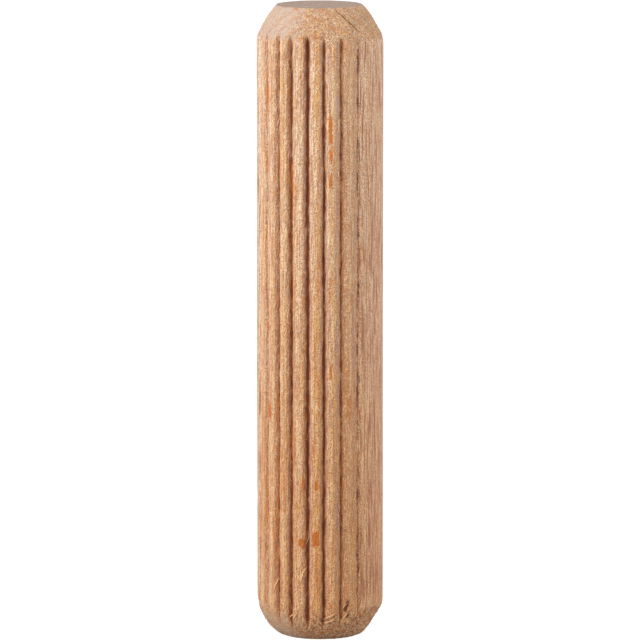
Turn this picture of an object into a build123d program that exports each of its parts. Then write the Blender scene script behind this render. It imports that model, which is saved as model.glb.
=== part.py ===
from build123d import *
from math import cos, radians, sin, tan
import os

# Fluted beech dowel pin, 8 mm across and 40 mm long, one solid piece of wood.
# Millimetres. +Z runs along the grain, and the origin is the middle of the lower end face.
# A planed rod is pressed between two grooved rollers, which bite from -Y and from +Y.
# So the flutes stand in two sectors, and a smooth strip is left between them on -X and on +X.
# The ends are tapered after the pressing, and the flutes run out on the tapers.

# Rod
rod_diameter = 8.0  # over the lands between the flutes
pin_length = 40.0  # from end face to end face

# Tapered ends
taper_length = 2.0  # along the axis
taper_angle = 31.0  # degrees between the taper and the axis
shoulder_radius = 1.0  # rounding where the taper meets the rod
rim_radius = 0.12  # rounding where the taper meets the end face

# Pressed flutes
flutes_per_sector = 8
flute_pitch = 15.4  # degrees from one flute to the next
middle_flute_depth = 0.38  # at the middle of a sector, where a roller bites deepest
outer_flute_depth = 0.14  # at the first and the last flute of a sector
flank_angle = 30.0  # degrees between a flank and the middle plane of its flute
root_radius = 0.07  # rounding at the bottom of a flute
crest_radius = 0.12  # rounding between a flank and the land beside it
sector_middles = (-90.0, 90.0)  # degrees from +X, on the -Y side and on the +Y side

# Worked out from the sizes above: the rod and its flutes
rod_radius = rod_diameter / 2
flank_slope = tan(radians(flank_angle))
sharp_root_drop = root_radius / sin(radians(flank_angle)) - root_radius  # flanks would meet this far below
same_place = 1e-4

# Worked out from the sizes above: the outline of a tapered end, as radius and height
end_face_radius = rod_radius - taper_length * tan(radians(taper_angle))
rim_setback = rim_radius * tan(radians(90 - taper_angle) / 2)
shoulder_setback = shoulder_radius * tan(radians(taper_angle) / 2)
taper_top_radius = rod_radius - shoulder_setback * sin(radians(taper_angle))
taper_top_height = taper_length - shoulder_setback * cos(radians(taper_angle))
shoulder_height = taper_length + shoulder_setback
ring_radius = rod_diameter  # outside of the ring that is cut away, well clear of the rod

# A plane at each end, with its own x along the radius and its own y into the pin
lower_end = Plane(origin=(0, 0, 0), x_dir=(1, 0, 0), z_dir=(0, -1, 0))
upper_end = Plane(origin=(0, 0, pin_length), x_dir=(1, 0, 0), z_dir=(0, 1, 0))


def flute_depth(number):
    """Depth of one flute, counted from 0: it fades from the middle of the sector to its edges."""
    steps = max(flutes_per_sector - 1, 1)
    from_middle = (2 * number - flutes_per_sector + 1) / steps
    return middle_flute_depth - (middle_flute_depth - outer_flute_depth) * from_middle**2


def flute_angle(sector_middle, number):
    """Place of one flute around the rod, in degrees from +X."""
    return sector_middle + flute_pitch * (number - (flutes_per_sector - 1) / 2)


def is_root(corner):
    """Is this corner of the section the bottom of a flute?"""
    return corner.center().length < rod_radius - outer_flute_depth


def is_edge_of_land(corner):
    """Is this corner of the section on the round, and not the round's own seam on +X?"""
    on_round = abs(corner.center().length - rod_radius) < same_place
    return on_round and abs(corner.Y) > same_place


# Dowel pin
with BuildPart() as dowel_pin:
    # Section of the pressed rod: a round with a vee pressed into it at each flute
    with BuildSketch(Plane.XY) as pressed_section:
        Circle(rod_radius)
        for sector_middle in sector_middles:
            for number in range(flutes_per_sector):
                depth = flute_depth(number)
                root = rod_radius - depth - sharp_root_drop
                mouth = rod_radius + depth
                half_mouth = (mouth - root) * flank_slope
                with Locations(Location((0, 0, 0), (0, 0, flute_angle(sector_middle, number)))):
                    Polygon(
                        (root, 0),
                        (mouth, half_mouth),
                        (mouth, -half_mouth),
                        align=None,
                        mode=Mode.SUBTRACT,
                    )
        fillet(pressed_section.vertices().filter_by(is_edge_of_land), crest_radius)
        fillet(pressed_section.vertices().filter_by(is_root), root_radius)
    extrude(amount=pin_length)

    # Ring that is cut away round each end: rim, taper and shoulder, then out and back
    for end in (lower_end, upper_end):
        with BuildSketch(end):
            with BuildLine():
                rim = JernArc((end_face_radius - rim_setback, 0), (1, 0), rim_radius, 90 - taper_angle)
                taper = Line(rim @ 1, (taper_top_radius, taper_top_height))
                shoulder = JernArc(taper @ 1, taper % 1, shoulder_radius, taper_angle)
                Polyline(shoulder @ 1, (ring_radius, shoulder_height), (ring_radius, 0), rim @ 0)
            make_face()
        revolve(axis=Axis.Z, mode=Mode.SUBTRACT)

dowel_pin.part.label = "dowel_pin"

os.makedirs("parts", exist_ok=True)
export_step(dowel_pin.part, "parts/dowel_pin.step")
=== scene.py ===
"""Fluted beech dowel pin: the pressed rod with its tapered ends, its loose fibres, and a plain stage."""

from math import cos, degrees, pi, radians, sin

import bpy
import numpy as np
from bpy.props import FloatProperty, FloatVectorProperty, IntProperty, PointerProperty
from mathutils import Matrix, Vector


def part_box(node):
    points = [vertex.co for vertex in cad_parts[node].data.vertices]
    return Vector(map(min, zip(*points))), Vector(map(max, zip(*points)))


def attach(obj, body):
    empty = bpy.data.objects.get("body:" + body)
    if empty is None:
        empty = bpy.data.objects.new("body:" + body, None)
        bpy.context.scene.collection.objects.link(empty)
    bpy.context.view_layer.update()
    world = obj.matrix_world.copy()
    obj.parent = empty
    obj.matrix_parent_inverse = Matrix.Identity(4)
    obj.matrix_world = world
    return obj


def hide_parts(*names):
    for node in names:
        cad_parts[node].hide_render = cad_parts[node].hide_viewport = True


bl_info = {
    "name": "Fluted Dowel Pin",
    "version": (1, 0, 0),
    "blender": (4, 5, 0),
    "location": "3D View > Sidebar > Dowel",
    "description": "Builds a pressed and tapered beech dowel pin on a plain stage",
    "category": "Object",
}

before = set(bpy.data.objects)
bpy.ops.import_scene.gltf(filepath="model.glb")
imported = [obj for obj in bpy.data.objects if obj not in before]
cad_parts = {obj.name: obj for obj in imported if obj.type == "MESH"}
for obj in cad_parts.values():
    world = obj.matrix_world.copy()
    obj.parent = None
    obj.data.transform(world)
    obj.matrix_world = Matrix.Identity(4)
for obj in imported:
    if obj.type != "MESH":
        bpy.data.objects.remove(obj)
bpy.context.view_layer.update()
pin_low, pin_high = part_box("dowel_pin")

# Shapes are worked out in millimetres and written to the meshes in metres
MM = 0.001
PIN_NODE = "dowel_pin"
PIN_BODY = "root"
BAKE_MAP = "OFBake"

# Places on the wall are given by the angle to the right of the line that faces the viewer
VIEWER_ANGLE = -71.2  # degrees from +X

# Middles of the two pressed sides, in degrees from +X
SECTOR_MIDDLES = (-90.0, 90.0)

# How far each flute of a side stands from its even place, in degrees
FLUTE_WANDER = (-0.2, -0.8, -0.6, -1.9, -0.7, -0.5, 0.3, 1.9)

# How deep each flute of a side is against the even fade
FLUTE_STRENGTH = (0.6, 0.8, 0.9, 1.0, 1.1, 1.05, 1.05, 0.85)

# How far the visible wall stays inside the round wall of the plain solid
WALL_CLEARANCE = 0.001  # mm

# Radius that the cells of the random relief are measured on
CELL_RADIUS = 4.0  # mm

# Distance from the pin's axis to the middle of the growth rings, on the far side from the viewer
PITH_DISTANCE = 11.3  # mm
RING_SPACING = 0.5  # mm

# Heights between which the colour turns browner, from the upper one down
BROWNING_START = 36.0  # mm
BROWNING_END = 2.0  # mm

# How high the relief stands that is too fine for the mesh
WOOD_RELIEF = 0.11  # mm
FIBRE_RELIEF = 0.03  # mm

# Seed of the loose fibres' random places
FIBRE_SEED = 7

# Soft boxes: degrees to the right of the viewer, level distance and height in metres
LEFT_BOX = (-57.0, 0.26, 0.16)
RIGHT_BOX = (75.0, 0.26, 0.13)
BOX_SIZE = 0.22  # m

# Marks on the wall, as angle to the right in degrees, height, half width and half height in mm, strength
ORANGE_FLECKS = (
    (9.7, 32.5, 0.17, 1.15, 1.0),
    (9.8, 30.9, 0.15, 0.65, 0.95),
    (9.7, 29.3, 0.14, 0.6, 0.9),
    (9.9, 17.3, 0.14, 0.65, 0.85),
    (9.0, 22.5, 0.13, 1.4, 0.6),
    (-4.5, 19.0, 0.13, 0.8, 0.6),
    (-15.5, 10.1, 0.16, 0.42, 0.85),
    (-3.6, 10.1, 0.16, 0.42, 0.9),
    (-16.9, 6.38, 0.24, 0.34, 1.1),
    (-4.1, 6.62, 0.24, 0.52, 1.3),
    (-56.5, 34.6, 0.26, 0.9, 0.85),
    (-57.5, 30.2, 0.25, 0.8, 0.7),
    (-55.9, 20.0, 0.3, 1.2, 0.8),
    (-53.0, 14.6, 0.22, 0.8, 0.9),
    (-34.0, 9.5, 0.16, 1.8, 0.7),
    (-28.6, 29.4, 0.14, 1.3, 0.8),
    (-27.5, 13.0, 0.12, 1.6, 0.65),
    (21.5, 29.6, 0.10, 1.0, 0.6),
    (26.5, 15.0, 0.16, 0.9, 0.75),
    (40.1, 1.71, 0.16, 0.18, 0.9),
    (-18.6, 38.2, 0.34, 0.10, 0.7),
    (-3.2, 38.25, 0.30, 0.10, 0.75),
    (46.0, 17.5, 0.12, 1.0, 0.5),
)
MAUVE_STRIPES = (
    (15.2, 20.0, 0.15, 27.0, 0.6),
    (31.8, 20.0, 0.20, 27.0, 0.45),
)
# The brown stripes beside some flutes are partly browner wood and partly painted shade on the flanks turned
# from the left lamp.
BROWN_AND_SHADE_STRIPES = (
    (23.0, 20.0, 0.42, 30.0, 0.75),
    (-44.5, 20.0, 0.15, 30.0, 0.8),
    (-25.0, 20.0, 0.12, 30.0, 0.7),
)
# The pale stripes along the left rim and on the crests of the left ridges are painted highlight from the
# left lamp.
PAINTED_HIGHLIGHT_STRIPES = (
    (-82.0, 20.0, 0.95, 30.0, 1.0),
    (-63.5, 20.0, 0.32, 30.0, 0.4),
    (-49.0, 20.0, 0.24, 30.0, 0.5),
    (-33.0, 20.0, 0.16, 30.0, 0.4),
    (-18.5, 20.0, 0.20, 30.0, 0.6),
)

# Splits and tears: places as angle and height, half width in mm, depth in mm, darkness. The darkness is
# partly dark torn wood and partly painted shade inside the splits.
GASHES = (
    (((20.7, 39.82), (25.2, 39.59), (29.9, 39.31), (35.2, 38.97), (40.9, 38.61)), 0.07, 0.04, 1.25),
    (((50.3, 39.89), (55.7, 39.43), (62.5, 38.98)), 0.05, 0.03, 0.9),
    (((26.2, 2.5), (25.3, 2.3), (24.2, 2.05)), 0.15, 0.14, 1.9),
    (((27.4, 1.85), (26.2, 1.6)), 0.11, 0.12, 1.5),
    (((1.2, 1.5), (1.9, 1.32)), 0.09, 0.10, 1.4),
)

# Torn line along the edge of the pressed side
TORN_LINE = ((37.4, 38.0), (36.7, 31.0), (37.6, 24.0), (36.9, 16.0), (37.6, 9.0), (37.0, 2.2))
TORN_LINE_WIDTH = 0.16  # mm, half
TORN_LINE_DEPTH = 0.025  # mm
# Darkness of the torn line: partly dark torn wood, partly painted shade in its pits.
TORN_LINE_DARKNESS = 0.85

# Reddish lines where growth rings come out on the tapered ends: places, half width in mm, strength
RING_TRACES = (
    (((-45.3, 39.69), (-51.3, 39.27), (-57.2, 38.89), (-58.4, 38.4)), 0.05, 0.6),
    (((-64.8, 39.85), (-68.5, 39.13), (-70.0, 38.5)), 0.045, 0.6),
    (((-16.3, 39.54), (-8.0, 39.49), (0.0, 39.46), (5.6, 39.38), (10.9, 39.2)), 0.05, 0.8),
    (((8.3, 38.96), (13.1, 38.81), (18.3, 38.59)), 0.06, 0.7),
    (((-36.0, 39.97), (-31.0, 39.9), (-28.5, 39.9)), 0.09, 0.8),
    (((-31.3, 0.95), (-23.2, 0.64), (-14.3, 0.42), (-6.1, 0.25)), 0.07, 1.2),
    (((-6.1, 0.25), (2.3, 0.48), (11.1, 0.76)), 0.07, 1.1),
)

# Splinters: places as angle and height, thickness in mm, lift of the tip in mm
SPLINTERS = (
    (((-18.0, 3.75), (-17.4, 4.15), (-15.6, 4.55), (-12.0, 4.85)), 0.10, 0.12),
    (((-18.6, 3.9), (-19.6, 4.2), (-22.3, 4.55)), 0.09, 0.06),
    (((-17.8, 3.9), (-18.0, 4.4), (-17.0, 4.9)), 0.06, 0.05),
    (((-47.5, 2.8), (-46.0, 3.4), (-43.6, 3.8), (-40.8, 4.15)), 0.08, 0.16),
    (((-23.4, 1.9), (-26.6, 1.72), (-30.6, 1.5)), 0.08, 0.16),
    (((-20.8, 1.95), (-23.8, 1.66), (-27.0, 1.3)), 0.09, 0.12),
    (((-19.5, 2.0), (-19.0, 1.8), (-19.6, 1.6)), 0.06, 0.08),
    (((-10.2, 7.3), (-11.4, 6.9), (-12.0, 6.55), (-13.6, 6.25)), 0.06, 0.06),
    (((2.3, 1.45), (6.4, 1.60), (10.6, 1.78), (15.2, 1.95)), 0.07, 0.16),
    (((2.8, 1.25), (7.0, 1.30), (11.6, 1.42), (14.6, 1.60)), 0.10, 0.08),
    (((19.8, 1.12), (21.6, 1.45), (23.6, 1.7), (27.6, 2.0)), 0.08, 0.12),
    (((20.9, 2.0), (22.4, 2.3), (26.9, 2.62)), 0.07, 0.10),
    (((22.0, 1.0), (24.0, 1.3), (26.0, 1.45)), 0.07, 0.08),
    (((3.6, 38.14), (6.5, 38.10), (10.9, 38.06)), 0.05, 0.03),
)


def length_property(name, description, default, lowest=0.0):
    """A length that can be changed in the panel, in metres."""
    return FloatProperty(
        name=name, description=description, default=default, min=lowest, unit="LENGTH", precision=5,
    )


def colour_property(name, description, default):
    """A colour that can be changed in the panel, in linear light."""
    return FloatVectorProperty(
        name=name, description=description, default=default, size=3, min=0.0, max=1.0, subtype="COLOR",
    )


def share_property(name, description, default):
    """A share from 0 to 1 that can be changed in the panel."""
    return FloatProperty(
        name=name, description=description, default=default, min=0.0, max=1.0, subtype="FACTOR",
    )


def strength_property(name, description, default, lowest=0.0):
    """A number without a unit that can be changed in the panel."""
    return FloatProperty(name=name, description=description, default=default, min=lowest)


def count_property(name, description, default, lowest, highest):
    """A number of like things that can be changed in the panel."""
    return IntProperty(name=name, description=description, default=default, min=lowest, max=highest)


class DowelSizes(bpy.types.PropertyGroup):
    """Sizes of the pin"""

    rod_radius: length_property(
        "Rod radius", "Radius over the lands between the flutes", float(pin_high[0] - pin_low[0]) / 2, 0.001
    )
    pin_length: length_property(
        "Length", "From end face to end face", float(pin_high[2] - pin_low[2]), 0.005
    )
    taper_length: length_property("Taper length", "Each tapered end, along the axis", 0.002, 0.0005)
    end_radius: length_property("End face radius", "Flat end face inside the taper", 0.0028, 0.0005)
    flutes_per_side: count_property("Flutes per side", "Flutes that one roller presses", 8, 1, 12)
    flute_pitch: FloatProperty(
        name="Flute pitch", description="Angle from one flute to the next",
        default=radians(15.4), min=radians(5), max=radians(40), subtype="ANGLE",
    )
    middle_depth: length_property("Middle depth", "Flutes at the middle of a side", 0.00038)
    outer_depth: length_property("Outer depth", "First and last flute of a side", 0.00014)
    raggedness: length_property("Raggedness", "How far the torn edges of the flutes wander", 0.00004)
    fuzz_count: count_property("Fuzz", "Short raised fibres beside each flute", 90, 0, 400)
    crumb_count: count_property("Torn grains", "On the two tapers together", 1500, 0, 4000)


class DowelFinish(bpy.types.PropertyGroup):
    """Colours and surface of the wood"""

    pale_wood_and_highlight: colour_property("Pale wood", "Early wood", (0.90, 0.64, 0.42))
    tan_wood: colour_property("Tan wood", "Main colour of the wood", (0.78, 0.46, 0.28))
    bruised_wood: colour_property("Bruised wood", "Pinkish wood beside a flute", (0.63, 0.365, 0.27))
    crown_wood: colour_property("Crown wood", "Golden wood along the top of a ridge", (0.80, 0.42, 0.11))
    ridge_brown_and_shade: colour_property("Ridge brown", "Browner wood low on a ridge", (0.54, 0.27, 0.13))
    streak_orange: colour_property("Streak orange", "Long streaks along the grain", (0.66, 0.22, 0.03))
    # Flute brown is partly painted shade in the recesses of the flutes.
    crushed_and_shaded_brown: colour_property("Flute brown", "Crushed wood in the flutes", (0.31, 0.075, 0.015))
    vessel_brown: colour_property("Vessel brown", "Open vessels, as thin streaks", (0.44, 0.175, 0.085))
    fleck_orange: colour_property("Fleck orange", "Ray flecks and stained spots", (0.60, 0.165, 0.004))
    stain_mauve: colour_property("Stain mauve", "Greyish stripes along the grain", (0.44, 0.29, 0.235))
    grain_cream: colour_property("Grain cream", "Bright fibre ends and splinters", (0.92, 0.69, 0.46))
    grain_dark: colour_property("Grain dark", "Pits between the fibres", (0.28, 0.12, 0.05))
    pit_brown_and_shade: colour_property("Pit brown", "Inside of cracks and tears", (0.19, 0.062, 0.018))
    end_grey: colour_property("End grey", "Sawn end grain on the flat faces", (0.42, 0.30, 0.24))
    taper_tan: colour_property("Taper tan", "Sawn wood of the tapered ends", (0.56, 0.33, 0.19))
    smooth_cream: colour_property("Smooth cream", "Cleanly cut side of a taper", (0.62, 0.455, 0.35))
    # Colour of the painted highlight stripes.
    painted_highlight_pale: colour_property("Bleached wood", "Paler, pinkish stripes", (0.92, 0.71, 0.54))
    lower_tint: colour_property("Lower tint", "What the lower end is browner by", (0.87, 0.73, 0.56))
    roughness: share_property("Roughness", "Roughness of the bare wood", 0.65)
    sheen: share_property("Sheen", "Pale bloom of the fine fibres where the wall turns away", 0.12)


class DowelStage(bpy.types.PropertyGroup):
    """Light, floor and camera"""

    left_power: strength_property("Left light", "Power of the soft box on the left, in watts", 0.86)
    right_power: strength_property("Right light", "Power of the soft box on the right, in watts", 0.41)
    fill_strength: strength_property("Fill light", "Strength of the light from all round", 0.66)
    floor_colour: colour_property("Floor colour", "Colour of the plain floor", (0.4, 0.4, 0.4))
    floor_glow: strength_property("Floor glow", "What brings the floor up to white where it is seen", 0.8)
    camera_distance: length_property("Camera distance", "From the pin's axis, level", 0.35, 0.05)
    camera_height: length_property("Camera height", "Above the floor", 0.072)
    lens: strength_property("Lens", "Focal length in millimetres on a 36 mm sensor", 315.0, 20.0)


# Random relief

def smooth_step(low, high, value):
    """0 below low, 1 above high, and a smooth ramp between them."""
    share = np.clip((value - low) / (high - low), 0.0, 1.0)
    return share * share * (3.0 - 2.0 * share)


def wall_noise(seed, angles, heights, cell_around, cell_along, radius=CELL_RADIUS):
    """Smooth random relief from -1 to 1, a row for each height and a column for each angle.

    The cells are in millimetres around and along the pin, and the relief closes up around it.
    """
    cells = max(4, round(2.0 * pi * radius / cell_around))
    across = np.mod(angles, 2.0 * pi) / (2.0 * pi) * cells
    along = (heights - heights.min()) / cell_along
    lattice = np.random.default_rng(seed).uniform(-1.0, 1.0, (int(along.max()) + 2, cells))
    column = np.floor(across).astype(int)
    row = np.floor(along).astype(int)
    blend_across = smooth_step(0.0, 1.0, across - column)
    blend_along = smooth_step(0.0, 1.0, along - row)[:, None]
    left = column % cells
    right = (column + 1) % cells
    lower = lattice[row][:, left] * (1.0 - blend_across) + lattice[row][:, right] * blend_across
    upper = lattice[row + 1][:, left] * (1.0 - blend_across) + lattice[row + 1][:, right] * blend_across
    return lower * (1.0 - blend_along) + upper * blend_along


def line_noise(seed, heights, cell):
    """Smooth random numbers from -1 to 1 along the pin, one for each height."""
    return wall_noise(seed, np.zeros(1), heights, 1.0, cell)[:, 0]


# Flutes

def flute_list(sizes):
    """Every flute as angle in degrees, depth in mm and half width in mm."""
    flutes = []
    count = sizes.flutes_per_side
    pitch = degrees(sizes.flute_pitch)
    for middle in SECTOR_MIDDLES:
        for number in range(count):
            from_middle = (2 * number - count + 1) / max(count - 1, 1)
            fade = (sizes.middle_depth - sizes.outer_depth) * from_middle**2
            depth = (sizes.middle_depth - fade) / MM * FLUTE_STRENGTH[number % len(FLUTE_STRENGTH)]
            wander = FLUTE_WANDER[number % len(FLUTE_WANDER)]
            angle = middle + pitch * (number - (count - 1) / 2) + wander
            half_width = 0.16 + 0.18 * depth
            flutes.append((angle, depth, half_width))
    return flutes


def column_angles(sizes):
    """Angles of the mesh's columns in radians: close over the flutes, wider over the smooth strips."""
    per_flute = 20
    strip_step = 1.1
    pitch = degrees(sizes.flute_pitch)
    count = sizes.flutes_per_side
    place = np.arange(per_flute) / per_flute * 2.0 - 1.0
    closer_to_root = 0.3
    spread = pitch / 2 * ((1.0 - closer_to_root) * place + closer_to_root * place**3)
    angles = []
    for middle in SECTOR_MIDDLES:
        for number in range(count):
            angles.append(middle + pitch * (number - (count - 1) / 2) + spread)
        start = middle + pitch * (count - 1) / 2 + pitch / 2
        width = 180.0 - pitch * count
        steps = max(2, round(width / strip_step))
        angles.append(start + np.arange(steps) / steps * width)
    return np.radians(np.concatenate(angles))


def row_heights(sizes):
    """Heights of the mesh's rows in mm: close over the tapered ends, wider between them."""
    length = sizes.pin_length / MM
    fine_stretch = sizes.taper_length / MM + 0.6
    fine = np.linspace(0.0, fine_stretch, 34)
    middle = np.linspace(fine_stretch, length - fine_stretch, 150)[1:-1]
    return np.concatenate([fine, middle, length - fine[::-1]])


# Wall of the pin

def soft_minimum(first, second, rounding):
    """The smaller of two values, with a rounded change from one to the other."""
    overlap = np.maximum(rounding - np.abs(first - second), 0.0) / rounding
    return np.minimum(first, second) - overlap * overlap * rounding * 0.25


def taper_radius(sizes, from_end, crown, rim_loss, rim_height):
    """Radius in mm of the crowned taper with its worn rim, at a distance in mm from the end face."""
    length = sizes.taper_length / MM
    start = sizes.end_radius / MM
    slope = (sizes.rod_radius / MM - start) / length
    bulge = crown * from_end * np.maximum(length - from_end, 0.0)
    rim = rim_loss * np.maximum(1.0 - from_end / rim_height, 0.0)**2
    return start + slope * from_end + bulge - rim


class PinWall:
    """The wall's radius and its marks, for every row of heights and every column of angles."""

    def __init__(self, sizes):
        self.angles = column_angles(sizes)
        self.heights = row_heights(sizes)
        self.radius = sizes.rod_radius / MM
        self.length = sizes.pin_length / MM
        self.end_radius = sizes.end_radius / MM
        self.flutes = flute_list(sizes)
        self.pitch = sizes.flute_pitch
        self.right_of_viewer = np.mod(np.degrees(self.angles) - VIEWER_ANGLE + 180.0, 360.0) - 180.0
        pressed = self.press_flutes(sizes.raggedness / MM)
        rod = self.radius - pressed - self.planing_marks()
        self.press = pressed / (sizes.middle_depth / MM)
        self.surface = self.taper_ends(sizes, rod)
        for places, half_width, depth, _ in GASHES:
            self.surface = self.surface - depth * self.line(places, half_width)
        self.torn_line = self.tear_line()
        self.surface = self.surface - TORN_LINE_DEPTH * self.torn_line

    def tear_line(self):
        """The torn line along the edge of the front side: 1 in its pits, 0 where it closes up."""
        wander = 0.05 * line_noise(61, self.heights, 0.8) + 0.03 * line_noise(62, self.heights, 0.35)
        pits = line_noise(63, self.heights, 1.1) + 0.5 * line_noise(64, self.heights, 0.4)
        line = self.line(TORN_LINE, TORN_LINE_WIDTH, wander[:, None])
        return line * smooth_step(-0.6, 0.2, pits)[:, None]

    def press_flutes(self, raggedness):
        """Depth in mm that the rollers pressed at each row and column."""
        root_softness = 0.12
        crest_softness = 0.22
        reach = radians(9.0)
        sideways_wander = 0.014
        depth_wander = 0.09
        run_out_end, run_out_start = 1.25, 2.15
        full = crest_softness * np.log1p(np.exp((1.0 - root_softness) / crest_softness))
        ragged = wall_noise(11, self.angles, self.heights, 0.16, 0.5)
        ragged = ragged + 0.7 * wall_noise(12, self.angles, self.heights, 0.10, 0.24)
        relief = np.zeros(ragged.shape)
        for number, (angle, depth, half_width) in enumerate(self.flutes):
            away = np.mod(self.angles - radians(angle) + pi, 2.0 * pi) - pi
            near = np.abs(away) < reach
            sideways = sideways_wander * line_noise(40 + number, self.heights, 3.2)[:, None]
            rise = 1.0 + depth_wander * line_noise(80 + number, self.heights, 1.5)[:, None]
            distance = np.abs(away[near] * self.radius - sideways) + raggedness * ragged[:, near]
            share = np.sqrt((distance / half_width)**2 + root_softness**2)
            pressed = crest_softness * np.log1p(np.exp((1.0 - share) / crest_softness)) / full
            relief[:, near] = np.maximum(relief[:, near], depth * rise * pressed)
        from_top = self.length - self.heights
        return relief * smooth_step(run_out_end, run_out_start, from_top)[:, None]

    def planing_marks(self):
        """Shallow inward relief in mm of the planed rod: streaks along the grain, slow waves and pits."""
        streaks = 0.5 + 0.5 * wall_noise(21, self.angles, self.heights, 0.20, 4.0)
        waves = 0.5 + 0.5 * wall_noise(22, self.angles, self.heights, 1.6, 9.0)
        pits = smooth_step(0.45, 0.9, wall_noise(23, self.angles, self.heights, 0.16, 0.8))
        streak_depth, wave_depth, pit_depth = 0.016, 0.025, 0.022
        return streak_depth * streaks + wave_depth * waves + pit_depth * pits

    def taper_ends(self, sizes, rod):
        """Cut both tapers into the rod. Both are fuller on the left, and the lower one also in front."""
        right = np.sin(np.radians(self.right_of_viewer))[None, :]
        front = np.maximum(np.cos(np.radians(self.right_of_viewer + 10.0)), 0.0)[None, :]**2
        from_top = (self.length - self.heights)[:, None]
        from_bottom = self.heights[:, None]

        # Torn grains, which stand out most at the lower end and on the right, and grooves along the taper
        grains = wall_noise(31, self.angles, self.heights, 0.15, 0.13)
        grains = grains + 0.7 * wall_noise(32, self.angles, self.heights, 0.32, 0.28)
        rough = (0.036 - 0.014 * from_bottom / self.length) * grains * (0.65 + 0.35 * right)
        rough = rough + 0.04 * wall_noise(33, self.angles, self.heights, 0.5, 40.0) - 0.02

        # Crown, worn rim and rounded shoulder of each taper
        rim_height = 0.5
        top = taper_radius(sizes, from_top, 0.05 - 0.05 * right, 0.07 + 0.05 * right, rim_height)
        crown = 0.10 - 0.05 * right + 0.14 * front
        bottom = taper_radius(sizes, from_bottom, crown, 0.13 - 0.05 * right - 0.06 * front, rim_height)
        shaped = soft_minimum(rod, top + rough, 0.20 + 0.10 * right)
        shaped = soft_minimum(shaped, bottom + rough, 0.16 - 0.08 * right)
        self.cut = smooth_step(-0.12, 0.08, rod - np.minimum(top, bottom))
        return np.minimum(shaped, self.radius - WALL_CLEARANCE)

    def spot(self, angle, height, half_width, half_height):
        """A soft, squarish spot on the wall: 1 at its middle and 0 from its edge on. Sizes are in mm."""
        across = (self.right_of_viewer - angle) * radians(1.0) * self.radius / half_width
        along = (self.heights - height) / half_height
        return smooth_step(0.0, 1.0, 1.4 - np.maximum(np.abs(across[None, :]), np.abs(along[:, None])))

    def line(self, places, half_width, wander=0.0):
        """A soft line through places on the wall: 1 along its middle and 0 from its edge on."""
        across = self.right_of_viewer[None, :] * radians(1.0) * self.radius + wander
        along = self.heights[:, None]
        nearest = np.full((len(self.heights), len(self.angles)), 1e6)
        for first, second in zip(places[:-1], places[1:]):
            start_x = first[0] * radians(1.0) * self.radius
            run_x = second[0] * radians(1.0) * self.radius - start_x
            run_y = second[1] - first[1]
            length = run_x**2 + run_y**2
            share = np.clip(((across - start_x) * run_x + (along - first[1]) * run_y) / length, 0.0, 1.0)
            gap = np.hypot(across - start_x - share * run_x, along - first[1] - share * run_y)
            nearest = np.minimum(nearest, gap)
        return smooth_step(0.0, 1.0, 1.2 - nearest / half_width)

    def spots(self, marks):
        """The strongest of several soft spots at each point of the wall."""
        field = np.zeros(self.surface.shape)
        for *place, strength in marks:
            field = np.maximum(field, strength * self.spot(*place))
        return field

    def lines(self, marks):
        """The strongest of several soft lines at each point of the wall."""
        field = np.zeros(self.surface.shape)
        for places, half_width, strength in marks:
            field = np.maximum(field, strength * self.line(places, half_width))
        return field

    def between_flutes(self):
        """For every column, its place between two flutes from 0 to 1, and how far it is on a ridge."""
        flutes = np.sort([radians(angle) % (2.0 * pi) for angle, _, _ in self.flutes])
        here = np.mod(self.angles, 2.0 * pi)
        after = np.searchsorted(flutes, here) % len(flutes)
        before = flutes[after - 1]
        gap = np.mod(flutes[after] - before, 2.0 * pi)
        across = np.mod(here - before, 2.0 * pi) / gap
        return across, 1.0 - smooth_step(1.3, 1.7, gap / self.pitch)

    def surface_at(self, angle, height):
        """Radius of the wall in mm at a place given by angle and height."""
        column = np.argmin(np.abs(self.right_of_viewer - angle))
        row = np.argmin(np.abs(self.heights - height))
        return self.surface[row, column]


# Meshes

def new_mesh(name, points, quads, triangles):
    """A mesh in metres from points in mm, quads and triangles."""
    mesh = bpy.data.meshes.new(name)
    mesh.vertices.add(len(points))
    mesh.vertices.foreach_set("co", (points * MM).ravel())
    corners = np.concatenate([quads.ravel(), triangles.ravel()])
    sizes = np.concatenate([np.full(len(quads), 4), np.full(len(triangles), 3)])
    starts = np.concatenate([[0], np.cumsum(sizes)[:-1]])
    mesh.loops.add(len(corners))
    mesh.loops.foreach_set("vertex_index", corners.astype(np.int32))
    mesh.polygons.add(len(sizes))
    mesh.polygons.foreach_set("loop_start", starts.astype(np.int32))
    mesh.update(calc_edges=True)
    mesh.validate()
    return mesh


def add_values(mesh, name, values):
    """A number for each point of the mesh, for the material to read."""
    layer = mesh.attributes.new(name, "FLOAT", "POINT")
    layer.data.foreach_set("value", np.asarray(values, dtype=np.float32))


def ring_faces(first, second, count, flip):
    """Quads between two closed rings of points, given the number of the first point of each."""
    here = np.arange(count)
    after = (here + 1) % count
    quads = np.stack([first + here, first + after, second + after, second + here], axis=1)
    return quads[:, ::-1] if flip else quads


# Pin body

END_RINGS = (0.985, 0.9, 0.72, 0.48, 0.24)  # radii inside an end face, as shares of its rim


def end_points(wall, row, inward, seed):
    """Points of each ring inside one end face, and of its middle, in mm."""
    dish = 0.012
    rings = []
    for number, share in enumerate(END_RINGS):
        ripple = wall_noise(seed + number, wall.angles, np.zeros(1), 1.3, 1.0, wall.end_radius * share)[0]
        radii = wall.surface[row] * share
        level = wall.heights[row] + inward * dish * (1.0 + ripple)
        rings.append(np.stack([radii * np.cos(wall.angles), radii * np.sin(wall.angles), level], axis=1))
    rings.append(np.array([[0.0, 0.0, wall.heights[row] + inward * dish]]))
    return rings


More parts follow.
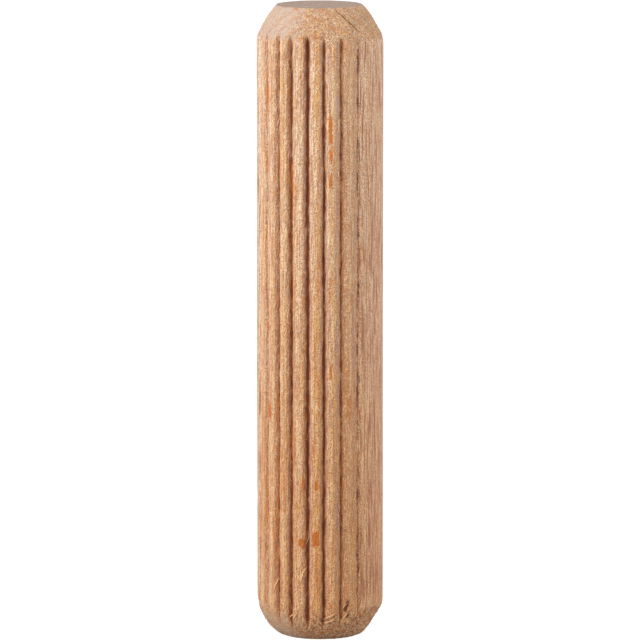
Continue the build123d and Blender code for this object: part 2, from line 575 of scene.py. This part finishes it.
def build_pin_mesh(wall):
    """The closed mesh of the pin, with its marks stored at its points and its bake map."""
    rows, count = wall.surface.shape
    level = np.repeat(wall.heights[:, None], count, axis=1)
    turned = (wall.surface * np.cos(wall.angles), wall.surface * np.sin(wall.angles), level)
    points = [np.stack(turned, axis=2).reshape(-1, 3)]
    quads = [ring_faces(row * count, (row + 1) * count, count, False) for row in range(rows - 1)]
    fans = []
    start = rows * count
    for row, inward, lower, seed in ((rows - 1, -1.0, False, 300), (0, 1.0, True, 320)):
        rings = end_points(wall, row, inward, seed)
        outer = row * count
        for ring in rings[:-1]:
            quads.append(ring_faces(outer, start, count, lower))
            points.append(ring)
            outer = start
            start += count
        points.append(rings[-1])
        here = np.arange(count)
        fan = np.stack([outer + here, outer + (here + 1) % count, np.full(count, start)], axis=1)
        fans.append(fan[:, ::-1] if lower else fan)
        start += 1
    points = np.concatenate(points)
    mesh = new_mesh("pin_body", points, np.concatenate(quads), np.concatenate(fans))
    mesh.shade_smooth()
    add_wall_marks(mesh, wall, len(points))
    add_bake_map(mesh, wall, points)
    return mesh


def add_wall_marks(mesh, wall, point_count):
    """Store what the material needs to know about each point of the wall and the end faces."""
    shape = wall.surface.shape
    across, ridge = wall.between_flutes()
    gashes = [(places, half_width, darkness) for places, half_width, _, darkness in GASHES]
    torn_side = smooth_step(-0.75, 0.0, np.sin(np.radians(wall.right_of_viewer)))
    marks = {
        "press": wall.press,
        "cut": wall.cut,
        "across": np.broadcast_to(across, shape),
        "ridge": np.broadcast_to(ridge, shape),
        "fleck": wall.spots(ORANGE_FLECKS),
        "stain": wall.spots(MAUVE_STRIPES),
        "shade": wall.spots(BROWN_AND_SHADE_STRIPES),
        "bleach": wall.spots(PAINTED_HIGHLIGHT_STRIPES),
        "gash": np.maximum(TORN_LINE_DARKNESS * wall.torn_line, wall.lines(gashes)),
        "trace": wall.lines(RING_TRACES),
        "torn_side": np.broadcast_to(torn_side, shape),
    }
    for name, field in marks.items():
        values = np.zeros(point_count)
        values[:field.size] = field.ravel()
        add_values(mesh, name, values)
    on_face = np.ones(point_count)
    on_face[:wall.surface.size] = 0.0
    add_values(mesh, "end_face", on_face)


def add_bake_map(mesh, wall, points):
    """Lay the wall out as one strip, with the two end faces as discs below it."""
    rows, count = wall.surface.shape
    strip_low, strip_high = 0.14, 0.997
    strip_left, strip_right = 0.003, 0.997
    disc_radius = 0.062
    disc_reach = 3.0
    upper_middle, lower_middle = (0.07, 0.068), (0.21, 0.068)
    corner_points = np.empty(len(mesh.loops), dtype=np.int32)
    mesh.loops.foreach_get("vertex_index", corner_points)
    face_sizes = np.empty(len(mesh.polygons), dtype=np.int32)
    mesh.polygons.foreach_get("loop_total", face_sizes)
    face = np.repeat(np.arange(len(mesh.polygons)), face_sizes)
    on_strip = face < (rows - 1) * count
    column = corner_points % count
    column = np.where((face % count == count - 1) & (column == 0), count, column)
    row = np.minimum(corner_points // count, rows - 1)
    turned = np.append(wall.angles - wall.angles[0], 2.0 * pi) / (2.0 * pi)
    along = wall.heights / wall.heights[-1]
    strip_u = strip_left + (strip_right - strip_left) * turned[column]
    strip_v = strip_low + (strip_high - strip_low) * along[row]
    corner = points[corner_points]
    lower = corner[:, 2] < wall.length / 2
    scale = disc_radius / disc_reach
    disc_u = np.where(lower, lower_middle[0], upper_middle[0]) + scale * corner[:, 0]
    disc_v = np.where(lower, lower_middle[1], upper_middle[1]) + scale * corner[:, 1]
    layer = mesh.uv_layers.new(name=BAKE_MAP)
    u = np.where(on_strip, strip_u, disc_u)
    v = np.where(on_strip, strip_v, disc_v)
    layer.uv.foreach_set("vector", np.stack([u, v], axis=1).astype(np.float32).ravel())


# Loose fibres

class FibreHeap:
    """Collects closed slivers and crumbs into one mesh."""

    def __init__(self, wall, seed):
        self.wall = wall
        self.random = np.random.default_rng(seed)
        self.points = []
        self.quads = []
        self.triangles = []
        self.tones = []
        self.count = 0

    def place(self, angle, height, lift):
        """A point above the wall, in mm."""
        radius = self.wall.surface_at(angle, height) + lift
        turn = radians(VIEWER_ANGLE + angle)
        return np.array([radius * cos(turn), radius * sin(turn), height])

    def sliver(self, places, lifts, thickness, tone):
        """A thin closed sliver through places on the wall, pointed at both ends and flatter than wide."""
        flatness = 0.6
        spine = [self.place(angle, height, lift) for (angle, height), lift in zip(places, lifts)]
        first = self.count
        last = len(spine) - 1
        self.points.append(spine[0])
        for number in range(1, last):
            along = spine[number + 1] - spine[number - 1]
            along = along / np.linalg.norm(along)
            outward = spine[number] * (1.0, 1.0, 0.0)
            outward = outward / np.linalg.norm(outward)
            side = np.cross(along, outward)
            side = side / max(np.linalg.norm(side), 1e-6)
            up = np.cross(side, along)
            wide = side * (thickness / 2)
            high = up * (thickness / 2 * flatness)
            for offset in (wide, high, -wide, -high):
                self.points.append(spine[number] + offset)
        self.points.append(spine[last])
        rings = last - 1
        for corner in range(4):
            after = (corner + 1) % 4
            self.triangles.append((first, first + 1 + corner, first + 1 + after))
            for ring in range(rings - 1):
                low = first + 1 + 4 * ring
                self.quads.append((low + corner, low + 4 + corner, low + 4 + after, low + after))
            top = first + 1 + 4 * (rings - 1)
            self.triangles.append((top + corner, first + 1 + 4 * rings, top + after))
        added = 2 + 4 * rings
        self.tones += [tone] * added
        self.count += added

    def crumb(self, angle, height, size, tone):
        """A grain of torn wood, partly sunk into the wall."""
        middle = self.place(angle, height, size * 0.15)
        first = self.count
        ways = ((1, 0, 0), (0, 1, 0), (-1, 0, 0), (0, -1, 0), (0, 0, 1), (0, 0, -1))
        for way in ways:
            reach = size * self.random.uniform(0.5, 1.0)
            self.points.append(middle + np.array(way) * reach + self.random.uniform(-0.2, 0.2, 3) * size)
        for corner in range(4):
            after = (corner + 1) % 4
            self.triangles.append((first + corner, first + after, first + 4))
            self.triangles.append((first + after, first + corner, first + 5))
        self.tones += [tone] * 6
        self.count += 6

    def mesh(self, name):
        """The collected pieces as one mesh, kept inside the pin's own box."""
        side = self.wall.radius - WALL_CLEARANCE
        points = np.clip(np.array(self.points), (-side, -side, 0.0), (side, side, self.wall.length))
        quads = np.array(self.quads, dtype=int).reshape(-1, 4)
        triangles = np.array(self.triangles, dtype=int).reshape(-1, 3)
        mesh = new_mesh(name, points, quads, triangles)
        mesh.shade_flat()
        add_values(mesh, "tone", self.tones)
        return mesh


def add_splinters(heap):
    """The splinters, whose tips curl away from the wall."""
    for places, thickness, lift in SPLINTERS:
        lifts = np.linspace(0.0, 1.0, len(places))**1.5 * lift + 0.01
        heap.sliver(places, lifts, thickness, heap.random.uniform(0.85, 1.0))


def add_fuzz(heap, per_flute):
    """Short fibres that stand up beside the flutes."""
    random = heap.random
    wall = heap.wall
    for angle, _, half_width in wall.flutes:
        for _ in range(per_flute):
            side = random.choice((-1.0, 1.0))
            off = side * (half_width * random.uniform(0.55, 1.5)) / wall.radius
            start = (angle - VIEWER_ANGLE + degrees(off) + 180.0) % 360.0 - 180.0
            height = random.uniform(1.6, wall.length - 1.9)
            length = random.uniform(0.15, 0.7)
            lean = random.normal(0.0, 1.1)
            run = random.choice((-1.0, 1.0)) * length
            places = [(start + lean * share, height + run * share) for share in (0.0, 0.4, 0.75, 1.0)]
            lift = random.uniform(0.005, 0.05)
            lifts = (-0.015, 0.3 * lift, 0.75 * lift, lift)
            thickness = random.uniform(0.02, 0.042)
            heap.sliver(places, lifts, thickness, random.uniform(0.0, 1.0))


def add_crumbs(heap, sizes):
    """Torn grains on the tapers, thickest near the shoulders."""
    random = heap.random
    length = sizes.pin_length / MM
    taper = sizes.taper_length / MM
    for _ in range(sizes.crumb_count):
        angle = random.uniform(-180.0, 180.0)
        from_end = random.uniform(0.12, 1.0)**0.7 * taper
        height = from_end if random.random() < 0.5 else length - from_end
        heap.crumb(angle, height, random.uniform(0.02, 0.055), random.uniform(0.0, 1.0))


# Materials

class Nodes:
    """Builds the nodes of one material."""

    def __init__(self, name):
        self.material = bpy.data.materials.new(name)
        self.material.use_nodes = True
        self.tree = self.material.node_tree
        self.tree.nodes.clear()

    def add(self, kind, inputs=(), **settings):
        """A node of this kind, with its settings and what its inputs are fed, by name or by number."""
        node = self.tree.nodes.new(kind)
        for name, value in settings.items():
            setattr(node, name, value)
        for name, value in dict(inputs).items():
            self.feed(node.inputs[name], value)
        return node

    def feed(self, socket, value):
        """Link an output to a socket, or set the socket to a number, a place or a colour."""
        if isinstance(value, bpy.types.NodeSocket):
            self.tree.links.new(value, socket)
        elif socket.type == "RGBA":
            socket.default_value = opaque(value)
        else:
            socket.default_value = value

    def value(self, name):
        """A number that is stored at the points of the mesh."""
        return self.add("ShaderNodeAttribute", attribute_name=name).outputs["Fac"]

    def maths(self, operation, first, second=0.0):
        """One operation on two numbers."""
        return self.add("ShaderNodeMath", {0: first, 1: second}, operation=operation).outputs[0]

    def times(self, first, *others):
        """The product of several numbers."""
        for other in others:
            first = self.maths("MULTIPLY", first, other)
        return first

    def plus(self, first, *others):
        """The sum of several numbers."""
        for other in others:
            first = self.maths("ADD", first, other)
        return first

    def weigh(self, *parts, shift=0.0):
        """The sum of several numbers, each times its own weight, and of a fixed shift."""
        return self.plus(*[self.times(value, weight) for value, weight in parts], shift)

    def ramp(self, value, low, high, to_low=0.0, to_high=1.0):
        """Take low to high of a number to another range, with smooth ends."""
        inputs = {"Value": value, "From Min": low, "From Max": high, "To Min": to_low, "To Max": to_high}
        return self.add("ShaderNodeMapRange", inputs, interpolation_type="SMOOTHSTEP").outputs["Result"]

    def colours(self, value, stops):
        """A colour for each number, from stops as number and colour."""
        node = self.add("ShaderNodeValToRGB", {0: value})
        marks = node.color_ramp.elements
        while len(marks) < len(stops):
            marks.new(1.0)
        for mark, (position, colour) in zip(marks, stops):
            mark.position = position
            mark.color = opaque(colour)
        return node.outputs["Color"]

    def mix(self, share, first, second, blend="MIX"):
        """Mix two colours."""
        inputs = {0: share, 6: first, 7: second}
        return self.add("ShaderNodeMix", inputs, data_type="RGBA", blend_type=blend).outputs[2]

    def tint(self, base, colour, value, low, high, share=1.0):
        """Mix a colour into a base as a number goes from low to high."""
        return self.mix(self.ramp(value, low, high, 0.0, share), base, colour)

    def place(self, scale):
        """Place on the piece, multiplied along x, y and z: cells per millimetre."""
        here = self.add("ShaderNodeTexCoord").outputs["Object"]
        inputs = {0: here, 1: [cells / MM for cells in scale]}
        return self.add("ShaderNodeVectorMath", inputs, operation="MULTIPLY").outputs[0]

    def lowness(self):
        """0 on the upper part of the pin, rising to 1 where the colour is brownest."""
        here = self.add("ShaderNodeTexCoord").outputs["Object"]
        split = self.add("ShaderNodeSeparateXYZ", {0: here})
        return self.ramp(split.outputs["Z"], BROWNING_START * MM, BROWNING_END * MM)

    def noise(self, scale, detail=2.0, roughness=0.5):
        """Cloudy noise from 0 to 1, in cells per millimetre along x, y and z."""
        inputs = {"Vector": self.place(scale), "Scale": 1.0, "Detail": detail, "Roughness": roughness}
        return self.add("ShaderNodeTexNoise", inputs, noise_dimensions="3D").outputs["Fac"]

    def bump(self, height, strength, distance):
        """A normal that stands the height up by a distance in mm."""
        inputs = {"Strength": strength, "Distance": distance * MM, "Height": height}
        return self.add("ShaderNodeBump", inputs).outputs["Normal"]

    def principled(self, inputs):
        """The finished material, whose shader is fed these."""
        shader = self.add("ShaderNodeBsdfPrincipled", inputs)
        self.add("ShaderNodeOutputMaterial", {"Surface": shader.outputs["BSDF"]})
        return self.material


def opaque(colour):
    """A colour as a socket's four numbers."""
    return (colour[0], colour[1], colour[2], 1.0)


def ring_lines(nodes):
    """Growth rings through the pin: 1 at a late-wood line, falling to 0 between the lines."""
    turn = radians(VIEWER_ANGLE)
    pith_to_axis = (PITH_DISTANCE * cos(turn), PITH_DISTANCE * sin(turn), 0.0)
    inputs = {0: nodes.place((1.0, 1.0, 0.0)), 1: pith_to_axis}
    from_pith = nodes.add("ShaderNodeVectorMath", inputs, operation="ADD")
    distance = nodes.add("ShaderNodeVectorMath", {0: from_pith.outputs[0]}, operation="LENGTH")
    wave = nodes.times(nodes.noise((0.8, 0.8, 0.02)), 0.8)
    turns = nodes.times(nodes.plus(distance.outputs["Value"], wave), 2.0 * pi / RING_SPACING)
    return nodes.plus(nodes.times(nodes.maths("SINE", turns), 0.5), 0.5)


class WoodPatterns:
    """The wood's random patterns and the marks stored on its mesh, for its colours to share."""

    def __init__(self, nodes):
        self.broad = nodes.noise((0.9, 0.9, 0.06))
        self.bands = nodes.noise((2.6, 2.6, 0.13))
        self.lines = nodes.noise((8.0, 8.0, 0.22))
        self.streaks = nodes.noise((7.0, 7.0, 0.30), detail=3.0, roughness=0.6)
        self.patches = nodes.noise((5.5, 5.5, 1.5), roughness=0.55)
        self.fine = nodes.noise((10.0, 10.0, 1.7), roughness=0.7)
        self.speckle = nodes.noise((13.0, 13.0, 9.0), detail=1.0)
        self.grain = nodes.noise((8.5, 8.5, 8.5), roughness=0.6)
        self.uneven = nodes.weigh((self.streaks, 0.4), (self.patches, 0.4), (self.fine, 0.2))
        self.rings = ring_lines(nodes)
        self.on_ridge = nodes.value("ridge")
        self.torn_side = nodes.value("torn_side")
        self.lowness = nodes.lowness()


def side_grain(nodes, finish, wood):
    """Colours of the rod's wall: the smooth strips, the ridges with painted light across them, the vessels
    and the crushed flutes with painted shade.
    """
    tone = nodes.weigh((wood.broad, 0.25), (wood.bands, 0.35), (wood.streaks, 0.4))
    strip = nodes.tint(finish.bruised_wood, finish.tan_wood, tone, 0.43, 0.53)
    strip = nodes.tint(strip, finish.pale_wood_and_highlight, wood.lines, 0.48, 0.40, 0.85)
    wander = nodes.weigh((wood.streaks, 0.9), (wood.bands, 0.6), (wood.patches, 0.3), shift=-0.9)
    # Across each ridge, the left part that faces the left lamp is painted paler as painted highlight, and
    # the right part turned from it is painted browner as painted shade.
    ridge = nodes.colours(nodes.plus(nodes.value("across"), wander), (
        (0.08, finish.bruised_wood),
        (0.16, finish.bruised_wood),
        (0.28, finish.pale_wood_and_highlight),
        (0.44, finish.pale_wood_and_highlight),
        (0.56, finish.crown_wood),
        (0.68, finish.crown_wood),
        (0.77, finish.ridge_brown_and_shade),
        (0.87, finish.bruised_wood),
    ))
    side = nodes.mix(wood.on_ridge, strip, ridge)
    # Brown stripes beside some flutes: partly painted shade on the flanks turned from the left lamp.
    side = nodes.mix(nodes.value("shade"), side, finish.ridge_brown_and_shade)
    # Pale stripes on the left rim and the left ridge crests: painted highlight from the left lamp.
    side = nodes.mix(nodes.value("bleach"), side, finish.painted_highlight_pale)

    # Streaks, patches and specks
    gold = nodes.times(nodes.ramp(wood.lines, 0.53, 0.60), nodes.ramp(wood.on_ridge, 0.0, 1.0, 0.25, 0.9))
    side = nodes.mix(gold, side, finish.streak_orange)
    for pattern, low, high, share, colour in (
        (wood.uneven, 0.53, 0.62, 0.5, finish.grain_cream),
        (wood.uneven, 0.47, 0.38, 0.55, finish.ridge_brown_and_shade),
        (wood.fine, 0.53, 0.66, 0.68, finish.grain_cream),
        (wood.fine, 0.47, 0.33, 0.82, finish.ridge_brown_and_shade),
        (wood.patches, 0.39, 0.28, 0.75, finish.streak_orange),
        (wood.speckle, 0.53, 0.66, 0.6, finish.grain_cream),
        (wood.speckle, 0.47, 0.34, 0.75, finish.ridge_brown_and_shade),
    ):
        side = nodes.tint(side, colour, pattern, low, high, share)

    # Vessels, mauve stripes, and crushed wood with painted shade in the flutes
    vessels = nodes.noise((9.6, 9.6, 0.39), detail=1.0)
    vessels = nodes.plus(vessels, nodes.weigh((wood.fine, 0.2), (wood.speckle, 0.1), shift=-0.15))
    vessels = nodes.times(nodes.ramp(vessels, 0.55, 0.59), nodes.ramp(wood.on_ridge, 0.0, 1.0, 0.9, 0.4))
    side = nodes.mix(vessels, side, finish.vessel_brown)
    stained = nodes.times(nodes.value("stain"), nodes.ramp(wood.uneven, 0.4, 0.55, 0.3, 1.0))
    side = nodes.mix(stained, side, finish.stain_mauve)
    # The flutes are painted darker towards their roots: partly crushed wood, partly painted shade in the
    # recesses.
    crushed_and_shaded = nodes.weigh((wood.fine, 0.8), (wood.patches, 1.3), (wood.speckle, 0.6), shift=-1.35)
    crushed_and_shaded = nodes.plus(nodes.value("press"), crushed_and_shaded)
    return nodes.tint(side, finish.crushed_and_shaded_brown, crushed_and_shaded, 0.46, 0.86, 0.95)


def taper_grain(nodes, finish, wood):
    """Colours of the tapered ends: cleanly cut on the left, torn in front and on the right, with the left
    painted paler as painted highlight from the left lamp.
    """
    torn_side = wood.torn_side
    # The paler cream on the left is partly the cleaner cut and partly painted highlight from the left lamp;
    # the tan on the right is partly painted shade.
    taper = nodes.tint(finish.smooth_cream, finish.taper_tan, torn_side, 0.0, 1.0)
    for pattern, low, high, clean_share, torn_share, colour in (
        (wood.rings, 0.45, 0.95, 0.2, 0.4, finish.ridge_brown_and_shade),
        (wood.grain, 0.47, 0.36, 0.1, 0.85, finish.vessel_brown),
        (wood.grain, 0.53, 0.64, 0.25, 0.75, finish.grain_cream),
    ):
        share = nodes.ramp(torn_side, 0.0, 1.0, clean_share, torn_share)
        taper = nodes.mix(nodes.times(nodes.ramp(pattern, low, high), share), taper, colour)
    gilt = nodes.times(nodes.ramp(wood.patches, 0.52, 0.66), torn_side, 0.6)
    taper = nodes.mix(gilt, taper, finish.crown_wood)

    # Shredded strands, most of all at the lower end
    strands = nodes.noise((8.0, 8.0, 2.6), detail=3.0, roughness=0.6)
    shredded = nodes.ramp(wood.lowness, 0.0, 1.0, 0.15, 0.9)
    shredded = nodes.times(shredded, nodes.ramp(torn_side, 0.0, 1.0, 0.2, 1.0))
    for low, high, colour in ((0.49, 0.36, finish.crushed_and_shaded_brown), (0.52, 0.63, finish.grain_cream)):
        share = nodes.times(nodes.ramp(strands, low, high), shredded)
        taper = nodes.mix(share, taper, colour)
    return nodes.tint(taper, finish.fleck_orange, wood.rings, 0.90, 1.0, 0.25)


def add_stains(nodes, finish, wood, colour):
    """Add the orange spots, the ring lines, the splits and tears, and the browner lower end."""
    fleck = nodes.plus(nodes.value("fleck"), wood.patches, wood.fine, -1.0)
    fleck = nodes.times(nodes.ramp(fleck, 0.40, 0.95), nodes.ramp(wood.fine, 0.35, 0.65, 1.0, 0.88))
    colour = nodes.mix(fleck, colour, finish.fleck_orange)
    colour = nodes.mix(nodes.times(nodes.value("trace"), 0.7), colour, finish.fleck_orange)
    ragged = nodes.times(nodes.plus(wood.fine, wood.patches, wood.grain, -1.5), 1.5)
    gash = nodes.plus(nodes.value("gash"), ragged)
    # Splits, tears and the torn line are painted dark: partly torn wood, partly painted shade in these
    # recesses.
    colour = nodes.tint(colour, finish.pit_brown_and_shade, gash, 0.35, 1.25)
    return nodes.mix(wood.lowness, colour, finish.lower_tint, "MULTIPLY")


def end_grain(nodes, finish, wood):
    """Colours of the flat end faces: sawn end grain with its rings and pores."""
    brushed = nodes.noise((1.0, 8.0, 1.0), detail=3.0, roughness=0.6)
    brushed = nodes.ramp(brushed, 0.3, 0.7, 0.78, 1.0)
    face = nodes.mix(brushed, finish.grain_dark, finish.end_grey)
    for pattern, low, high, share, colour in (
        (wood.rings, 0.35, 1.0, 0.35, finish.taper_tan),
        (wood.grain, 0.46, 0.34, 0.7, finish.grain_dark),
        (wood.speckle, 0.53, 0.66, 0.45, finish.smooth_cream),
    ):
        face = nodes.tint(face, colour, pattern, low, high, share)
    return face


def wood_material(finish):
    """Bare pressed beech: grain along z, vessels, rays, crushed flutes with painted shade, and cut ends."""
    nodes = Nodes("bare_beech")
    wood = WoodPatterns(nodes)
    cut = nodes.value("cut")
    end_face = nodes.value("end_face")
    colour = nodes.mix(cut, side_grain(nodes, finish, wood), taper_grain(nodes, finish, wood))
    colour = add_stains(nodes, finish, wood, colour)
    colour = nodes.mix(end_face, colour, end_grain(nodes, finish, wood))

    # Relief too fine for the mesh
    relief = nodes.weigh((wood.fine, 1.0), (wood.patches, 0.8), (wood.speckle, 1.2))
    torn_ends = nodes.maths("MAXIMUM", nodes.times(cut, wood.torn_side), end_face)
    relief = nodes.plus(relief, nodes.times(wood.grain, torn_ends))
    return finish_material(nodes, finish, colour, nodes.bump(relief, 1.0, WOOD_RELIEF))


def fibre_material(finish):
    """Loose fibres and crumbs, from cream to orange."""
    nodes = Nodes("loose_fibre")
    tone = nodes.value("tone")
    colour = nodes.tint(finish.ridge_brown_and_shade, finish.crown_wood, tone, 0.1, 0.5)
    colour = nodes.tint(colour, finish.pale_wood_and_highlight, tone, 0.5, 1.0)
    colour = nodes.mix(nodes.lowness(), colour, finish.lower_tint, "MULTIPLY")
    speckle = nodes.noise((9.0, 9.0, 4.0))
    colour = nodes.tint(colour, finish.fleck_orange, speckle, 0.45, 0.3, 0.5)
    return finish_material(nodes, finish, colour, nodes.bump(speckle, 0.6, FIBRE_RELIEF))


def finish_material(nodes, finish, colour, normal):
    """Join colour and relief to the shader of dry, unsanded wood."""
    return nodes.principled({
        "Base Color": colour,
        "Normal": normal,
        "Roughness": finish.roughness,
        "Specular IOR Level": 0.35,
        "Sheen Weight": finish.sheen,
        "Sheen Roughness": 0.5,
    })


# Pieces

def add_piece(context, mesh, material):
    """Put a mesh in the scene as a piece of the pin."""
    piece = bpy.data.objects.new(mesh.name, mesh)
    context.scene.collection.objects.link(piece)
    mesh.materials.append(material)
    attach(piece, PIN_BODY)
    return piece


class DOWEL_OT_pin_body(bpy.types.Operator):
    """Build the pressed and tapered rod, in place of the plain solid"""

    bl_idname = "dowel.pin_body"
    bl_label = "Pin Body"

    def execute(self, context):
        mesh = build_pin_mesh(PinWall(context.scene.dowel_sizes))
        piece = add_piece(context, mesh, wood_material(context.scene.dowel_finish))
        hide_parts(PIN_NODE)
        return {"FINISHED"}


class DOWEL_OT_loose_fibres(bpy.types.Operator):
    """Add the splinters, the fuzz beside the flutes and the torn grains on the tapers"""

    bl_idname = "dowel.loose_fibres"
    bl_label = "Loose Fibres"

    def execute(self, context):
        sizes = context.scene.dowel_sizes
        heap = FibreHeap(PinWall(sizes), FIBRE_SEED)
        add_splinters(heap)
        add_fuzz(heap, sizes.fuzz_count)
        add_crumbs(heap, sizes)
        add_piece(context, heap.mesh("loose_fibres"), fibre_material(context.scene.dowel_finish))
        return {"FINISHED"}


class DOWEL_OT_stage(bpy.types.Operator):
    """Set the floor, the lights and the camera"""

    bl_idname = "dowel.stage"
    bl_label = "Stage"

    def execute(self, context):
        stage = context.scene.dowel_stage
        middle = Vector((0.0, 0.0, context.scene.dowel_sizes.pin_length / 2))
        add_floor(context, stage)
        add_world(context, stage)
        add_soft_box(context, "left_light", around(*LEFT_BOX), middle, stage.left_power)
        add_soft_box(context, "right_light", around(*RIGHT_BOX), middle, stage.right_power)
        add_camera(context, stage, middle)
        context.scene.view_settings.view_transform = "Standard"
        return {"FINISHED"}


# Stage

def camera_rays(nodes):
    """1 for rays that the camera, a reflection or a clear thing sees directly, else 0."""
    path = nodes.add("ShaderNodeLightPath")
    seen = nodes.maths("MAXIMUM", path.outputs["Is Camera Ray"], path.outputs["Is Glossy Ray"])
    return nodes.maths("MAXIMUM", seen, path.outputs["Is Transmission Ray"])


def add_floor(context, stage):
    """A plain pale floor that reads white and keeps the pin's shadow."""
    half = 2.5
    corners = [(-half, -half, 0.0), (half, -half, 0.0), (half, half, 0.0), (-half, half, 0.0)]
    mesh = bpy.data.meshes.new("floor")
    mesh.from_pydata(corners, [], [(0, 1, 2, 3)])
    floor = bpy.data.objects.new("floor", mesh)
    context.scene.collection.objects.link(floor)
    nodes = Nodes("floor_white")
    mesh.materials.append(nodes.principled({
        "Base Color": stage.floor_colour,
        "Roughness": 0.9,
        "Specular IOR Level": 0.0,
        "Emission Color": (1.0, 1.0, 1.0),
        "Emission Strength": nodes.times(camera_rays(nodes), stage.floor_glow),
    }))


def add_world(context, stage):
    """Even light from all round, white where the camera or a clear thing sees it directly."""
    world = bpy.data.worlds.new("studio")
    context.scene.world = world
    world.use_nodes = True
    tree = world.node_tree
    background = tree.nodes["Background"]
    background.inputs["Color"].default_value = (1.0, 1.0, 1.0, 1.0)
    path = tree.nodes.new("ShaderNodeLightPath")
    seen = tree.nodes.new("ShaderNodeMath")
    seen.operation = "MAXIMUM"
    tree.links.new(path.outputs["Is Camera Ray"], seen.inputs[0])
    tree.links.new(path.outputs["Is Transmission Ray"], seen.inputs[1])
    strength = tree.nodes.new("ShaderNodeMapRange")
    tree.links.new(seen.outputs[0], strength.inputs["Value"])
    strength.inputs["To Min"].default_value = stage.fill_strength
    strength.inputs["To Max"].default_value = 1.0
    tree.links.new(strength.outputs["Result"], background.inputs["Strength"])


def around(angle, distance, height):
    """A place at an angle to the right of the viewer, in degrees, and at a level distance and a height."""
    turn = radians(VIEWER_ANGLE + angle)
    return Vector((distance * cos(turn), distance * sin(turn), height))


def point_at(thing, target):
    """Point a light or a camera at a place."""
    thing.rotation_euler = (target - thing.location).to_track_quat("-Z", "Y").to_euler()


def add_soft_box(context, name, place, target, power):
    """A square soft box that points at the pin."""
    light = bpy.data.lights.new(name, "AREA")
    light.shape = "SQUARE"
    light.size = BOX_SIZE
    light.energy = power
    lamp = bpy.data.objects.new(name, light)
    context.scene.collection.objects.link(lamp)
    lamp.location = place
    point_at(lamp, target)


def add_camera(context, stage, middle):
    """The camera, at the angle that shows the front flutes and the top face."""
    data = bpy.data.cameras.new("camera")
    data.sensor_width = 36.0
    data.lens = stage.lens
    data.clip_start = 0.01
    camera = bpy.data.objects.new("camera", data)
    context.scene.collection.objects.link(camera)
    camera.location = around(0.0, stage.camera_distance, stage.camera_height)
    point_at(camera, middle)
    context.scene.camera = camera


class DOWEL_PT_panel(bpy.types.Panel):
    """The pin's pieces, sizes and colours"""

    bl_idname = "DOWEL_PT_panel"
    bl_label = "Dowel Pin"
    bl_space_type = "VIEW_3D"
    bl_region_type = "UI"
    bl_category = "Dowel"

    def draw(self, context):
        layout = self.layout
        for operator in OPERATORS:
            layout.operator(operator.bl_idname)
        for group in (context.scene.dowel_sizes, context.scene.dowel_finish, context.scene.dowel_stage):
            box = layout.box()
            for name in group.__annotations__:
                box.prop(group, name)


OPERATORS = (DOWEL_OT_pin_body, DOWEL_OT_loose_fibres, DOWEL_OT_stage)
CLASSES = (DowelSizes, DowelFinish, DowelStage) + OPERATORS + (DOWEL_PT_panel,)


def register():
    """Add the classes and the settings to Blender."""
    for cls in CLASSES:
        bpy.utils.register_class(cls)
    bpy.types.Scene.dowel_sizes = PointerProperty(type=DowelSizes)
    bpy.types.Scene.dowel_finish = PointerProperty(type=DowelFinish)
    bpy.types.Scene.dowel_stage = PointerProperty(type=DowelStage)


def unregister():
    """Take the settings and the classes out of Blender."""
    del bpy.types.Scene.dowel_stage
    del bpy.types.Scene.dowel_finish
    del bpy.types.Scene.dowel_sizes
    for cls in reversed(CLASSES):
        bpy.utils.unregister_class(cls)


def main():
    """Build everything."""
    register()
    bpy.ops.dowel.pin_body()
    bpy.ops.dowel.loose_fibres()
    bpy.ops.dowel.stage()


if __name__ == "__main__":
    main()
